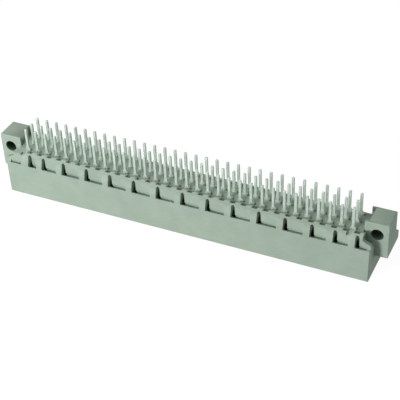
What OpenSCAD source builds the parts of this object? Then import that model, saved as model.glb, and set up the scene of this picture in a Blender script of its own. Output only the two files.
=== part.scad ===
// Board connector for a backplane, male half, with 96 contacts in 3 rows.
// It stands on the rim of its mating shell, with the solder pins up.
// X runs along the connector, Y from the front to the back, Z up from the rim.
// The origin is the middle of the mating rim.

/* [Contact grid] */
// Spacing of the contacts, along the connector and between the rows
pitch = 2.54; // [2.45:0.01:2.65]
// Contacts in each row
columns = 32; // [8:1:32]

/* [Contact] */
// Width of the square solder pin, the stem and the mating blade
pin_w = 0.56; // [0.5:0.02:0.6]
// Length of the solder pin above the contact field
pin_l = 5.5; // [3:0.1:13]
// Radius of the dome on the solder pin's tip
dome_r = 0.43; // [0.43:0.01:0.7]
// Width of the shoulder, along the connector
shoulder_w = 1.15; // [0.8:0.05:1.25]
// Thickness of the shoulder, across the connector
shoulder_t = 0.64; // [0.62:0.02:0.9]
// Height of the shoulder's upright sides above the contact field
shoulder_rise = 0.25; // [0.1:0.05:0.6]
// Height of the slopes from the shoulder's sides up to the solder pin
shoulder_slope = 0.55; // [0.2:0.05:0.8]
// How far the shoulder is pushed to the right of the pin's middle
shoulder_shift = 0.08; // [0:0.01:0.2]
// How far the blade's tip stays behind the mating rim
tip_recess = 4.2; // [2:0.1:5]
// Length of the taper at the blade's tip
tip_l = 0.9; // [0.4:0.1:1.5]
// Width left at the very end of the blade
tip_w = 0.22; // [0.1:0.02:0.4]

/* [Contact pocket] */
// Depth of the pocket that holds the shoulder
pocket_d = 1.2; // [0.8:0.1:1.6]
// Open space in the pocket beside the shoulder
pocket_free = 0.4; // [0.3:0.05:0.5]
// Play around the shoulder and the stem
play = 0.04; // [0.02:0.01:0.08]
// How far each barb of the stem stands out to grip the floor
barb = 0.1; // [0.05:0.01:0.14]
// Length of the barb's flat land
barb_l = 0.7; // [0.4:0.1:1]

/* [Mating shell] */
// From the last contact to the end of the shell
shell_end = 4.63; // [4.3:0.01:6]
// Width of the shell, front to back
shell_w = 11; // [10.6:0.1:12]
// Height of the shell, from the rim to the ledge
shell_h = 8.2; // [7.8:0.1:9]
// Thickness of the shell's walls
shell_wall = 1; // [0.9:0.05:1.2]
// Material left between the ledge and the mating cavity
ledge_web = 0.6; // [0.5:0.05:0.9]
// Length of the polarising step in each front corner of the cavity
key_l = 1.6; // [0.8:0.1:2]
// Depth of the polarising step, front to back
key_d = 1; // [0.6:0.1:1.2]

/* [Contact block] */
// Height of the contact field above the shell's ledge
block_rise = 2.8; // [2.5:0.1:4]
// How far the lip's full height ends in from the shell's ends
lip_in = 1.8; // [1.4:0.1:2.2]
// How far the front bays lie behind the shell's front
bay_d = 0.6; // [0.5:0.05:0.7]
// Thickness of the lip along the front of the contact field
lip_w = 0.85; // [0.7:0.05:0.95]
// Height of the lip above the contact field, to which its top slopes up from the front
lip_h = 0.5; // [0.3:0.05:0.9]
// Thickness of the lip in front of each relief
lip_rim = 0.5; // [0.4:0.05:0.6]
// Width of each relief between the front contacts
relief_w = 1.3; // [1:0.1:1.6]
// Depth of the reliefs
relief_d = 0.5; // [0.3:0.1:1.2]
// Width of the notch in front of the first and the last contact
notch_w = 1.2; // [0.8:0.1:1.4]
// Depth of the notches
notch_d = 0.45; // [0.3:0.05:0.8]
// Height above the ledge at which the lip's ends start to slope down
end_rise = 1.9; // [1.4:0.1:2.3]
// Height above the ledge of the lip's ends, at the shell's ends
end_low = 1; // [0.5:0.1:1.3]

/* [Front slots] */
// Spacing of the slots in the regular run
slot_pitch = 6; // [5:0.1:6.1]
// Width of each slot
slot_w = 0.85; // [0.7:0.05:1]
// Depth of the slots behind the shell's front, at the ledge
slot_d = 2.2; // [1.5:0.05:2.3]
// Depth of the slots behind the bays' face, at their top
slot_top_d = 0.6; // [0.3:0.05:0.7]
// Plastic left above each slot, up to the lip's top
slot_cover = 0.4; // [0.2:0.05:0.7]
// Width of the rib on the left of each slot
rib_w = 1.45; // [0.7:0.05:1.5]
// Width of the trough along the foot of each bay
trough_w = 0.36; // [0.2:0.02:0.36]
// Depth of the trough below the ledge
trough_d = 0.4; // [0.1:0.05:0.5]
// Height of the trough above the ledge, in the bay's face
trough_h = 0.5; // [0.2:0.05:0.6]
// Depth of the trough behind the bay's face
trough_in = 0.3; // [0.1:0.05:0.35]
// Length of the troughs at the shell's ends
trough_end_l = 2.8; // [1:0.1:3]

/* [Ears] */
// Reach of each ear beyond the shell's end
ear_out = 3; // [2.6:0.1:4]
// How far each ear runs in over the shell
ear_in = 2.35; // [2.2:0.05:2.6]
// Front face of the ears, in front of the middle
ear_front = 2.2; // [1.8:0.1:2.8]
// Back face of the ears and of the block, behind the middle
ear_back = 3.4; // [3.3:0.05:3.8]
// Height of the ears above the contact field
ear_rise = 2.25; // [1.5:0.05:3]
// How far the ears hang below the shell's ledge
ear_drop = 3.5; // [2.5:0.1:5]
// Height of the foot behind each ear, which stops the board's edge
foot_h = 2.1; // [1:0.1:2.4]
// Depth of the relief in the side of each ear that faces the contacts
ear_relief_d = 0.9; // [0.5:0.1:1.1]
// Plastic left in front of the relief and behind it
ear_relief_wall = 0.55; // [0.4:0.05:0.9]
// Diameter of the fixing hole in each ear
hole_d = 2.8; // [2.2:0.1:3]
// Middle of the hole beyond the shell's end
hole_out = 0.45; // [0.3:0.01:0.8]
// Middle of the hole below the ear's top
hole_drop = 2.9; // [2.4:0.1:3.6]

/* [Hidden] */
housing_colour = "#A4B5A5";
contact_colour = "#C6D1C9";
half = 0.5;
// Cutting bodies run on by this much past the face that they open
past = 0.5;

rows = [-1, 0, 1];
grid_l = (columns - 1) * pitch;
shell_x = grid_l * half + shell_end;
shell_y = shell_w * half;
cavity_x = shell_x - shell_wall;
cavity_y = shell_y - shell_wall;
cavity_h = shell_h - ledge_web;
field_z = shell_h + block_rise;
lip_z = field_z + lip_h;
lip_x = shell_x - lip_in;
bay_y = shell_y - bay_d;
lip_back = bay_y - lip_w;

ear_x0 = shell_x - ear_in;
block_x = ear_x0;
ear_x1 = shell_x + ear_out;
ear_z0 = shell_h - ear_drop;
ear_z1 = field_z + ear_rise;
hole_x = shell_x + hole_out;
hole_z = ear_z1 - hole_drop;

pocket_z = field_z - pocket_d;
shoulder_left = shoulder_w * half - shoulder_shift;
shoulder_right = shoulder_w - shoulder_left;
floor_hole_w = pin_w + 2 * barb;
barb_z = (pocket_z + cavity_h) * half;
barb_slope = 0.25;
relief_shift = 0.13;
notch_shift = -0.2;
// Thinnest wall behind a slot or a relief
thin_wall = 0.3;

slot_z = lip_z - slot_cover;
slot_wall_y = shell_y - slot_d - thin_wall;
slot_run = 10;
// Steps from the regular run to the slots at its left and right end
slot_left = [5.3, 8.9];
slot_right = [5.1, 9.9];
// Middle of the regular run, off the middle of the connector
slot_shift = 1.22;
slot_limit = lip_x - slot_w * half;
slot_run_x = slot_run * slot_pitch * half;
slot_raw = concat(
    [-slot_run_x - slot_left[1], -slot_run_x - slot_left[0]],
    [for (i = [0:slot_run]) i * slot_pitch - slot_run_x],
    [slot_run_x + slot_right[0], slot_run_x + slot_right[1]]);
slots = [for (s = slot_raw) if (abs(s + slot_shift) < slot_limit) s + slot_shift];

trough_end = shell_x - lip_w;
trough_starts = concat([-trough_end], [for (s = slots) s + slot_w * half]);
trough_stops = concat(
    [trough_end_l - trough_end],
    [for (i = [1:len(slots) - 1]) slots[i] - slot_w * half - rib_w],
    [trough_end]);

relief_x = (pitch - relief_w) * half + relief_shift;
relief_back = pitch + shoulder_t * half + thin_wall;
relief_front = bay_y - lip_rim;
notch_left = notch_shift - notch_w * half;

function column_x(c) = c * pitch - grid_l * half;
function column_name(c) = str("contact_column_", c < 9 ? "0" : "", c + 1);

// A box from one corner to the opposite one
module span(a, b) {
    translate(a) cube(b - a);
}

// A shape drawn in X and Z, made as thick as from y0 to y1
module slab_xz(y0, y1) {
    translate([0, y1, 0]) rotate([90, 0, 0]) linear_extrude(y1 - y0) children();
}

// A shape drawn in Y and Z, made as long as from x0 to x1
module slab_yz(x0, x1) {
    translate([x0, 0, 0]) rotate([90, 0, 90]) linear_extrude(x1 - x0) children();
}

// The same thing at both ends of the connector
module both_ends() {
    children();
    mirror([1, 0, 0]) children();
}

// The same thing at every contact
module each_contact() {
    for (c = [0:columns - 1]) for (r = rows) translate([column_x(c), r * pitch, 0]) children();
}

// Mating shell, block above it and the lip along the block's front
module body_blank() {
    span([-shell_x, -shell_y, 0], [shell_x, shell_y, shell_h]);
    span([-block_x, -bay_y, cavity_h], [block_x, ear_back, field_z]);
    span([-lip_x, -bay_y, cavity_h], [lip_x, -slot_wall_y, field_z]);
    slab_yz(column_x(0) + notch_left, lip_x) polygon([
        [-bay_y, cavity_h], [-bay_y, field_z], [-lip_back, lip_z], [-lip_back, cavity_h]]);
}

// Sloping end of the lip, down to the shell's end
module lip_end() {
    slab_xz(-bay_y, -lip_back) polygon([
        [lip_x - lip_in, cavity_h],
        [shell_x, cavity_h],
        [shell_x, shell_h + end_low],
        [lip_x, shell_h + end_rise],
        [lip_x - lip_in, shell_h + end_rise]]);
}

// Fixing ear, with the foot behind it that the edge of the board meets
module ear() {
    slab_yz(ear_x0, ear_x1) polygon([
        [-ear_front, ear_z0],
        [shell_y, ear_z0],
        [shell_y, ear_z0 + foot_h],
        [ear_back, ear_z0 + foot_h],
        [ear_back, ear_z1],
        [-ear_front, ear_z1]]);
}

// Fixing hole through the ear, from front to back
module ear_hole() {
    translate([hole_x, shell_y + past, hole_z]) rotate([90, 0, 0])
        cylinder(d = hole_d, h = shell_y + ear_front + 2 * past, $fn = 48);
}

// Relief in the inner side of the ear, open above the contact field
module ear_relief() {
    span(
        [ear_x0 - past, ear_relief_wall - ear_front, field_z],
        [ear_x0 + ear_relief_d, ear_back - ear_relief_wall, ear_z1 + past]);
}

// Mating cavity, less the polarising steps in its front corners
module mating_cavity() {
    difference() {
        span([-cavity_x, -cavity_y, -past], [cavity_x, cavity_y, cavity_h]);
        both_ends() span(
            [cavity_x - key_l, -cavity_y - past, -2 * past],
            [cavity_x + past, key_d - cavity_y, cavity_h + past]);
    }
}

// Pocket for one contact's shoulder and the hole for its stem
module contact_pocket() {
    span(
        [-shoulder_left - play, -shoulder_t * half - play, pocket_z],
        [shoulder_right + pocket_free, shoulder_t * half + play, field_z + past]);
    span(
        [-floor_hole_w * half, -pin_w * half - play, cavity_h - past],
        [floor_hole_w * half, pin_w * half + play, pocket_z + past]);
}

// Reliefs in the contact field, behind the lip and to the right of each front contact
module front_reliefs() {
    for (c = [0:columns - 1]) translate([column_x(c) + relief_x, 0, 0])
        span([0, -relief_front, field_z - relief_d], [relief_w, -relief_back, lip_z + past]);
}

// Notches through the lip, in front of the first and the last contact
module lip_notches() {
    for (c = [0, columns - 1]) translate([column_x(c) + notch_left, 0, 0])
        span([0, -bay_y - past, field_z - notch_d], [notch_w, -lip_back, lip_z + past]);
}

// One rib beside a slot, flush with the shell's front at its foot and sloping back above
module rib() {
    slab_yz(-slot_w * half - rib_w, -slot_w * half) polygon([
        [-lip_back, cavity_h],
        [-shell_y, cavity_h],
        [-shell_y, shell_h + bay_d],
        [-bay_y, field_z],
        [-lip_back, field_z]]);
}

// Front view of a slot, with its round top
module slot_outline() {
    translate([0, slot_z - slot_w * half]) circle(d = slot_w, $fn = 24);
    translate([-slot_w * half, cavity_h - past])
        square([slot_w, slot_z - slot_w * half - cavity_h + past]);
}

// One slot, deeper towards the ledge, where it runs down into the mating cavity
module slot() {
    intersection() {
        slab_yz(-slot_w, slot_w) polygon([
            [-shell_y - past, shell_h],
            [-shell_y - past, slot_z],
            [slot_top_d - bay_y, slot_z],
            [slot_d - shell_y, shell_h],
            [slot_d - shell_y, cavity_h - past],
            [trough_w - shell_y, cavity_h - past],
            [trough_w - shell_y, shell_h]]);
        slab_xz(-shell_y - past, slot_d - shell_y + past) slot_outline();
    }
}

// Trough along the foot of each bay, cut a little into the bay's face too
module troughs() {
    for (i = [0:len(slots)])
        slab_yz(trough_starts[i], max(trough_stops[i], trough_starts[i] + rib_w * half)) polygon([
            [-bay_y - trough_w, shell_h - trough_d],
            [-bay_y - trough_w, shell_h + trough_h],
            [-bay_y + trough_in, shell_h + trough_h],
            [-bay_y + trough_in, shell_h - trough_d]]);
}

// The whole moulding
module housing() {
    color(housing_colour) difference() {
        union() {
            body_blank();
            both_ends() lip_end();
            both_ends() ear();
            for (s = slots) translate([s, 0, 0]) rib();
        }
        mating_cavity();
        each_contact() contact_pocket();
        front_reliefs();
        for (s = slots) translate([s, 0, 0]) slot();
        troughs();
        lip_notches();
        both_ends() ear_relief();
        both_ends() ear_hole();
    }
}

// Solder pin with its domed tip, from the shoulder up
module solder_pin() {
    intersection() {
        span([-pin_w * half, -pin_w * half, pocket_z], [pin_w * half, pin_w * half, field_z + pin_l]);
        union() {
            translate([0, 0, field_z + pin_l - dome_r]) sphere(r = dome_r, $fn = 16);
            translate([0, 0, pocket_z])
                cylinder(r = dome_r, h = field_z + pin_l - dome_r - pocket_z, $fn = 16);
        }
    }
}

// Outline of the stem and blade, from the shoulder down to the tip
module stem_outline(grip) {
    w = pin_w * half;
    polygon([
        [-w, pocket_z + past], [-w, barb_z + barb_l * half + barb_slope],
        [-w - grip, barb_z + barb_l * half], [-w - grip, barb_z - barb_l * half],
        [-w, barb_z - barb_l * half - barb_slope], [-w, tip_recess + tip_l],
        [-tip_w * half, tip_recess], [tip_w * half, tip_recess],
        [w, tip_recess + tip_l], [w, barb_z - barb_l * half - barb_slope],
        [w + grip, barb_z - barb_l * half], [w + grip, barb_z + barb_l * half],
        [w, barb_z + barb_l * half + barb_slope], [w, pocket_z + past]]);
}

// One contact: solder pin, shoulder, barbed stem and mating blade
module contact() {
    solder_pin();
    slab_xz(-shoulder_t * half, shoulder_t * half) polygon([
        [-shoulder_left, pocket_z],
        [shoulder_right, pocket_z],
        [shoulder_right, field_z + shoulder_rise],
        [pin_w * half, field_z + shoulder_rise + shoulder_slope],
        [-pin_w * half, field_z + shoulder_rise + shoulder_slope],
        [-shoulder_left, field_z + shoulder_rise]]);
    intersection() {
        slab_xz(-pin_w * half, pin_w * half) stem_outline(barb);
        slab_yz(-pin_w, pin_w) stem_outline(0);
    }
}

// The three contacts of one column, one from each row
module contact_column(c) {
    color(contact_colour) for (r = rows) translate([column_x(c), r * pitch, 0]) contact();
}

housing();
for (c = [0:columns - 1]) contact_column(c);
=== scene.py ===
from math import radians

import bmesh
import bpy
from mathutils import Matrix, Quaternion, Vector


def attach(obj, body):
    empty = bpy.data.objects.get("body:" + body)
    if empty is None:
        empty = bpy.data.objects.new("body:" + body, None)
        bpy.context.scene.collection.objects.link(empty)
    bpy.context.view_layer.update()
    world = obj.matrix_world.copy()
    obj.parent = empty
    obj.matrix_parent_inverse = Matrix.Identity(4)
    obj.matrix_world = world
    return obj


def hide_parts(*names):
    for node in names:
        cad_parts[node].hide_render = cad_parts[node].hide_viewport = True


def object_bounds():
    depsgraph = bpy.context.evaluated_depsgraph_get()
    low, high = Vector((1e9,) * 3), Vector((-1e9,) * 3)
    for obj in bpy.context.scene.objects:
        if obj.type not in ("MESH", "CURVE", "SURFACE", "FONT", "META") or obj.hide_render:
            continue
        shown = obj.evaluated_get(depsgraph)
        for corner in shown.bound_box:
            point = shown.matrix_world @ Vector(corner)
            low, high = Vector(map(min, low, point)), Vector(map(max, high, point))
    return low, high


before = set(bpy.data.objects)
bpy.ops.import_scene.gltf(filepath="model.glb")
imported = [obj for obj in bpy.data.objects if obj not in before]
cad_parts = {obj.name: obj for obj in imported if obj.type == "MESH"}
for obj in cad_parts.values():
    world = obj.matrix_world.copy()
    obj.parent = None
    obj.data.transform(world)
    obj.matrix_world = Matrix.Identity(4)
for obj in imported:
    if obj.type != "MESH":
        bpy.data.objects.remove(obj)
cad_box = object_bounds()

MM = 0.001
# Points no further apart than this are in the same place
SAME_PLACE = 0.01 * MM

# Places along the connector, to either side of its middle
EAR_END = cad_box[1].x
SHELL_END = EAR_END - 3.0 * MM
EAR_ROOT = SHELL_END - 2.35 * MM
# Places across it; the front is on the side of -Y
SHELL_FRONT, SHELL_BACK = cad_box[0].y, cad_box[1].y
TROUGH_BACK = SHELL_FRONT + 0.9 * MM
EAR_FRONT, EAR_BACK = -2.2 * MM, 3.4 * MM
# Heights above the table
EAR_UNDERSIDE, FOOT_TOP = 4.7 * MM, 6.8 * MM
SHELL_TOP, EAR_TOP = 8.2 * MM, 13.25 * MM
# The flats along X, Y and Z between which the moulding's rounded edges run
EARS_AND_ENDS = (
    (-EAR_END, -SHELL_END, -EAR_ROOT, EAR_ROOT, SHELL_END, EAR_END),
    (SHELL_FRONT, EAR_FRONT, EAR_BACK, SHELL_BACK),
    (EAR_UNDERSIDE, FOOT_TOP, EAR_TOP))

# Sockets of a Mix node: its factor, and the two values or the two colours that it blends
FACTOR, VALUE_A, VALUE_B, COLOUR_A, COLOUR_B = 0, 2, 3, 6, 7
# Its outputs for values and for colours
BLENDED_VALUE, BLENDED_COLOUR = 0, 2

# Helpers


def paint(code):
    """An sRGB hex colour as the linear RGBA that the shaders take."""
    shares = [int(code[i:i + 2], 16) / 255 for i in (1, 3, 5)]
    linear = [s / 12.92 if s <= 0.04045 else ((s + 0.055) / 1.055) ** 2.4 for s in shares]
    return linear + [1.0]


def add(tree, kind, inputs=None, stops=(), **settings):
    """One new node with its settings and links.

    An input is a value or the socket that feeds it. A colour ramp also takes its stops, each a
    place from 0 to 1 with the sRGB hex colour there.
    """
    node = tree.nodes.new(kind)
    for name, value in settings.items():
        setattr(node, name, value)
    for name, value in (inputs or {}).items():
        if isinstance(value, bpy.types.NodeSocket):
            tree.links.new(value, node.inputs[name])
        else:
            node.inputs[name].default_value = value
    if stops:
        band = node.color_ramp.elements
        while len(band) < len(stops):
            band.new(0.5)
        for element, (place, code) in zip(band, stops):
            element.position = place
            element.color = paint(code)
    return node


def new_material(name):
    material = bpy.data.materials.new(name)
    material.use_nodes = True
    material.node_tree.nodes.clear()
    return material, material.node_tree


def patches(tree, width, detail):
    """Soft patches about so many metres wide along X, Y and Z, as values from 0 to 1."""
    place = add(tree, "ShaderNodeTexCoord").outputs["Object"]
    sized = add(tree, "ShaderNodeMapping", {"Vector": place, "Scale": [1 / w for w in width]})
    cloudy = add(tree, "ShaderNodeTexNoise", {
        "Vector": sized.outputs["Vector"], "Scale": 1.0, "Detail": detail, "Roughness": 0.5})
    return cloudy.outputs["Fac"]


def surface_place(tree):
    """The X, Y and Z of each point of the surface, in metres."""
    place = add(tree, "ShaderNodeTexCoord").outputs["Object"]
    return add(tree, "ShaderNodeSeparateXYZ", {0: place}).outputs


def off_middle(tree, distance):
    """How far a point lies from the middle, on either side of it."""
    return add(tree, "ShaderNodeMath", {0: distance}, operation="ABSOLUTE").outputs[0]


# Materials


def painted_shade_inside(tree, colour):
    """The colour, with the depths of the narrow slots and holes darkened.

    This shade is painted: where the moulding itself closes round a point, an ambient occlusion node
    darkens the colour and turns it greener.
    """
    openness = add(
        tree, "ShaderNodeAmbientOcclusion", {"Distance": 6.0 * MM}, only_local=True, samples=12)
    # Painted shade: the less open a point of the moulding, the darker and greener its colour
    shade = add(tree, "ShaderNodeValToRGB", {"Fac": openness.outputs["AO"]}, stops=[
        (0.08, "#1B2A17"), (0.25, "#61755B"), (0.45, "#BAC9B7"), (0.7, "#FFFFFF")])
    place = surface_place(tree)
    # The troughs at the bays' feet are too shallow for the painted shade, and the slots' tops too
    # near the open
    behind = add(tree, "ShaderNodeMapRange", {
        "Value": place["Y"], "From Min": TROUGH_BACK, "From Max": TROUGH_BACK + 0.3 * MM})
    below = add(tree, "ShaderNodeMapRange", {
        "Value": place["Z"], "From Min": SHELL_TOP + 1.4 * MM, "From Max": SHELL_TOP,
        "To Min": 0.15})
    in_slot = add(tree, "ShaderNodeMath", {
        0: behind.outputs["Result"], 1: below.outputs["Result"]}, operation="MULTIPLY")
    # In the ears only what lies behind their front is deep
    in_hole = add(tree, "ShaderNodeMapRange", {
        "Value": place["Y"], "From Min": EAR_FRONT + 0.05 * MM,
        "From Max": EAR_FRONT + 0.3 * MM})
    on_ear = add(tree, "ShaderNodeMath", {
        0: off_middle(tree, place["X"]), 1: EAR_ROOT - 0.15 * MM}, operation="GREATER_THAN")
    # How much of the painted shade each place takes
    painted_shade_share = add(tree, "ShaderNodeMix", {
        FACTOR: on_ear.outputs[0], VALUE_A: in_slot.outputs[0],
        VALUE_B: in_hole.outputs["Result"]}, data_type="FLOAT")
    darkened = add(tree, "ShaderNodeMix", {
        FACTOR: painted_shade_share.outputs[BLENDED_VALUE], COLOUR_A: colour,
        COLOUR_B: shade.outputs["Color"]}, data_type="RGBA", blend_type="MULTIPLY")
    return darkened.outputs[BLENDED_COLOUR]


def glass_filled_polyester():
    """Polyester moulding compound with short glass fibres, grey-green, from a spark-eroded tool."""
    material, tree = new_material("glass_filled_polyester_moulded")
    # The fibres float the pigment about, which clouds the colour over a few millimetres
    cloud = patches(tree, width=[4.0 * MM] * 3, detail=4.0)
    # Fibres near the skin lie along the flow, and show as faint streaks along the connector
    fibre = patches(tree, width=[1.4 * MM, 0.16 * MM, 0.16 * MM], detail=2.0)
    # The eroded tool's pits are 0.05 mm wide, drawn at 0.16 mm so that they show
    grain = patches(tree, width=[0.16 * MM] * 3, detail=2.0)
    clouded = add(tree, "ShaderNodeValToRGB", {"Fac": cloud}, stops=[
        (0.35, "#9BAD9E"), (0.65, "#A6B7A8")])
    streaked = add(tree, "ShaderNodeValToRGB", {"Fac": fibre}, stops=[
        (0.3, "#9AAB9C"), (0.7, "#ABBBAC")])
    colour = add(tree, "ShaderNodeMix", {
        FACTOR: 0.35, COLOUR_A: clouded.outputs["Color"],
        COLOUR_B: streaked.outputs["Color"]}, data_type="RGBA")
    rough = add(tree, "ShaderNodeMapRange", {
        "Value": grain, "From Min": 0.3, "From Max": 0.7, "To Min": 0.66, "To Max": 0.8})
    pits = add(tree, "ShaderNodeBump", {"Height": grain, "Strength": 0.35, "Distance": 0.012 * MM})
    skin = add(tree, "ShaderNodeBump", {
        "Height": fibre, "Strength": 0.3, "Distance": 0.01 * MM, "Normal": pits.outputs["Normal"]})
    shader = add(tree, "ShaderNodeBsdfPrincipled", {
        # The base colour carries painted shade in the slots and holes
        "Base Color": painted_shade_inside(tree, colour.outputs[BLENDED_COLOUR]),
        "Roughness": rough.outputs["Result"], "IOR": 1.55, "Specular IOR Level": 0.35,
        "Normal": skin.outputs["Normal"]})
    add(tree, "ShaderNodeOutputMaterial", {"Surface": shader.outputs["BSDF"]})
    return material


def tinned_bronze():
    """Phosphor bronze strip, stamped and plated with matt tin."""
    material, tree = new_material("matt_tin_on_bronze")
    # Tin lies in soft patches about half a millimetre wide, some greyer and duller than others
    patch = patches(tree, width=[0.5 * MM, 0.5 * MM, 0.9 * MM], detail=3.0)
    # The stamping tool's lines run along the pin; they are finer, drawn 0.07 mm wide to show
    drawn = patches(tree, width=[0.07 * MM, 0.07 * MM, 2.0 * MM], detail=2.0)
    colour = add(tree, "ShaderNodeValToRGB", {"Fac": patch}, stops=[
        (0.3, "#B8C4BA"), (0.7, "#CDD7CF")])
    rough = add(tree, "ShaderNodeMapRange", {
        "Value": patch, "From Min": 0.3, "From Max": 0.7, "To Min": 0.72, "To Max": 0.62})
    lines = add(tree, "ShaderNodeBump", {"Height": drawn, "Strength": 0.4, "Distance": 0.006 * MM})
    shader = add(tree, "ShaderNodeBsdfPrincipled", {
        "Base Color": colour.outputs["Color"], "Metallic": 1.0,
        "Roughness": rough.outputs["Result"], "Normal": lines.outputs["Normal"]})
    add(tree, "ShaderNodeOutputMaterial", {"Surface": shader.outputs["BSDF"]})
    return material


# Pieces


def merged_copy(node):
    """A CAD node's mesh as one closed skin of whole flat faces."""
    skin = bmesh.new()
    skin.from_mesh(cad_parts[node].data)
    bmesh.ops.remove_doubles(skin, verts=skin.verts, dist=0.002 * MM)
    bmesh.ops.dissolve_limit(
        skin, angle_limit=radians(0.6), verts=skin.verts, edges=skin.edges, delimit=set())
    return skin


def outward_edges(skin, least_angle):
    """The edges at which two faces turn away from each other by more than so many degrees."""
    return [e for e in skin.edges
            if len(e.link_faces) == 2 and e.calc_face_angle_signed(0.0) > radians(least_angle)]


def runs_between(edge, flats):
    """Whether an edge runs where two of the flats meet, given as places along each axis."""
    a, b = (v.co for v in edge.verts)
    along = max(range(3), key=lambda axis: abs(a[axis] - b[axis]))
    return all(
        any(max(abs(a[axis] - flat), abs(b[axis] - flat)) < SAME_PLACE for flat in flats[axis])
        for axis in range(3) if axis != along)


def stands_upright(edge):
    """Whether an edge is upright and over a millimetre long, as a pin's and a blade's are."""
    a, b = (v.co for v in edge.verts)
    return abs(a.z - b.z) > 1.0 * MM and (a.xy - b.xy).length < SAME_PLACE


def round_off(skin, edges, width, segments):
    bmesh.ops.bevel(
        skin, geom=edges, offset=width, offset_type="OFFSET", affect="EDGES", segments=segments,
        profile=0.5, clamp_overlap=False, material=-1, loop_slide=True)


def finish_piece(skin, name, material, slot, *nodes):
    """Makes the skin an object that stands for its CAD nodes."""
    mesh = bpy.data.meshes.new(name)
    skin.to_mesh(mesh)
    skin.free()
    mesh.materials.append(material)
    piece = bpy.data.objects.new(name, mesh)
    bpy.context.scene.collection.objects.link(piece)
    for polygon in mesh.polygons:
        polygon.use_smooth = True
    mesh.set_sharp_from_angle(angle=radians(50))
    # The large flats keep their own direction, and only the rounded edges turn the light
    weighted = piece.modifiers.new("flat_faces", "WEIGHTED_NORMAL")
    weighted.keep_sharp = True
    weighted.weight = 100
    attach(piece, "root")
    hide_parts(*nodes)


def moulded_housing():
    """The one moulding, with the outer edges of its ears and ends rounded."""
    skin = merged_copy("housing")
    edges = [
        e for e in outward_edges(skin, least_angle=30)
        if e.calc_length() > 0.4 * MM and runs_between(e, EARS_AND_ENDS)]
    round_off(skin, edges, width=0.18 * MM, segments=3)
    finish_piece(skin, "moulded_housing", glass_filled_polyester(), "housing_plastic", "housing")


def tinned_contacts():
    """Each column of three contacts, with the long edges of its pins and blades rounded."""
    tin = tinned_bronze()
    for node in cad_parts:
        if node != "housing":
            skin = merged_copy(node)
            edges = [e for e in outward_edges(skin, least_angle=60) if stands_upright(e)]
            round_off(skin, edges, width=0.06 * MM, segments=2)
            name = node.replace("contact_column", "tinned_contacts")
            finish_piece(skin, name, tin, "tinned_contact", node)


moulded_housing()
tinned_contacts()

# Floor, light and camera

scene = bpy.context.scene
scene.view_settings.view_transform = "Standard"


def seen_share(tree, mirrored):
    """1 for what the camera sees, the given share for what a shiny surface shows, else 0."""
    rays = add(tree, "ShaderNodeLightPath").outputs
    glossy = add(
        tree, "ShaderNodeMath", {0: rays["Is Glossy Ray"], 1: mirrored}, operation="MULTIPLY")
    seen = add(tree, "ShaderNodeMath", {
        0: rays["Is Camera Ray"], 1: glossy.outputs[0]}, operation="MAXIMUM")
    return seen.outputs[0]


def white_table():
    """A white table top, which throws little light back up and keeps a faint shadow."""
    material, tree = new_material("white_table")
    # Under the connector the table doesn't glow, or its white would show through the slots
    place = surface_place(tree)
    past_end = add(tree, "ShaderNodeMath", {
        0: off_middle(tree, place["X"]), 1: SHELL_END}, operation="GREATER_THAN")
    past_side = add(tree, "ShaderNodeMath", {
        0: off_middle(tree, place["Y"]), 1: SHELL_BACK}, operation="GREATER_THAN")
    outside = add(tree, "ShaderNodeMath", {
        0: past_end.outputs[0], 1: past_side.outputs[0]}, operation="MAXIMUM")
    lit = add(tree, "ShaderNodeMath", {
        0: seen_share(tree, 0.5), 1: outside.outputs[0]}, operation="MULTIPLY")
    # The rest of the table beside its glow is what keeps the shadow
    share = add(tree, "ShaderNodeMath", {0: lit.outputs[0], 1: 0.88}, operation="MULTIPLY")
    rays = add(tree, "ShaderNodeLightPath").outputs
    tint = add(tree, "ShaderNodeMix", {
        FACTOR: rays["Is Camera Ray"], COLOUR_A: paint("#A0A0A0"),
        COLOUR_B: paint("#FFFFFF")}, data_type="RGBA")
    matt = add(tree, "ShaderNodeBsdfDiffuse", {"Color": tint.outputs[BLENDED_COLOUR]})
    glow = add(tree, "ShaderNodeEmission", {"Color": paint("#FFFFFF"), "Strength": 1.08})
    mixed = add(tree, "ShaderNodeMixShader", {
        0: share.outputs[0], 1: matt.outputs[0], 2: glow.outputs[0]})
    add(tree, "ShaderNodeOutputMaterial", {"Surface": mixed.outputs[0]})
    return material


def pale_floor():
    """The wide table on which the connector stands."""
    top = bmesh.new()
    bmesh.ops.create_grid(top, x_segments=1, y_segments=1, size=3.0)
    mesh = bpy.data.meshes.new("floor")
    top.to_mesh(mesh)
    top.free()
    mesh.materials.append(white_table())
    floor = bpy.data.objects.new("floor", mesh)
    scene.collection.objects.link(floor)


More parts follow.
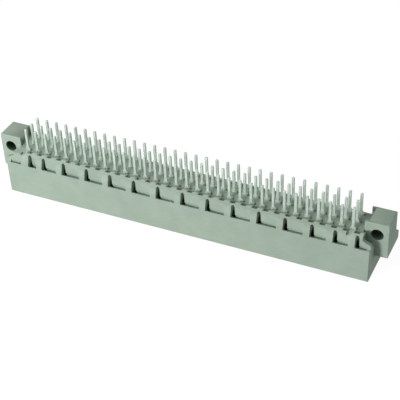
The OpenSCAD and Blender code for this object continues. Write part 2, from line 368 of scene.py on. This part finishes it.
def studio_world():
    """A room that is white to the eye, but lights the connector only dimly."""
    world = bpy.data.worlds.new("studio")
    scene.world = world
    world.use_nodes = True
    tree = world.node_tree
    tree.nodes.clear()
    dim = add(tree, "ShaderNodeBackground", {"Color": paint("#FFFFFF"), "Strength": 0.1})
    white = add(tree, "ShaderNodeBackground", {"Color": paint("#FFFFFF"), "Strength": 1.0})
    mixed = add(tree, "ShaderNodeMixShader", {
        0: seen_share(tree, 0.6), 1: dim.outputs[0], 2: white.outputs[0]})
    add(tree, "ShaderNodeOutputWorld", {"Surface": mixed.outputs[0]})


def lamp(name, side, height, distance, size, power):
    """A square soft light, so many degrees to the right of the front and so many up.

    Its distance from the connector's foot and its size are in metres, and its power in watts.
    """
    light = bpy.data.lights.new(name, "AREA")
    light.shape = "SQUARE"
    light.size = size
    light.energy = power
    turn = Matrix.Rotation(radians(side), 3, "Z") @ Matrix.Rotation(radians(-height), 3, "X")
    way = turn @ Vector((0, -1, 0))
    holder = bpy.data.objects.new(name, light)
    holder.location = way * distance
    holder.rotation_mode = "QUATERNION"
    holder.rotation_quaternion = way.to_track_quat("Z", "Y")
    scene.collection.objects.link(holder)


pale_floor()
studio_world()
lamp("key", side=-19, height=14, distance=0.36, size=0.09, power=1.0)
lamp("over_front", side=-20, height=50, distance=0.3, size=0.15, power=0.16)
lamp("over_left", side=-90, height=45, distance=0.15, size=0.08, power=0.058)
lamp("right_fill", side=100, height=11, distance=0.35, size=0.2, power=0.31)
lamp("behind_right", side=130, height=20, distance=0.3, size=0.15, power=0.035)
# This one stays lower than the ears' tops, which would shine in it
lamp("back_fill", side=190, height=1, distance=0.36, size=0.024, power=0.55)

# The photo's camera, found from the places of the pins in it
CAMERA_AT = Vector((93.241, -180.622, 160.033)) * MM
CAMERA_AIM = Vector((9.013, -12.062, 16.5)) * MM
CAMERA_ROLL = radians(-3.024)
lens = bpy.data.cameras.new("camera")
lens.sensor_width = 36.0
lens.lens = 102.57
lens.clip_start = 0.01
lens.clip_end = 10.0
camera = bpy.data.objects.new("camera", lens)
camera.location = CAMERA_AT
camera.rotation_mode = "QUATERNION"
camera.rotation_quaternion = (
    (CAMERA_AIM - CAMERA_AT).to_track_quat("-Z", "Y") @ Quaternion((0, 0, 1), CAMERA_ROLL))
scene.collection.objects.link(camera)
scene.camera = camera
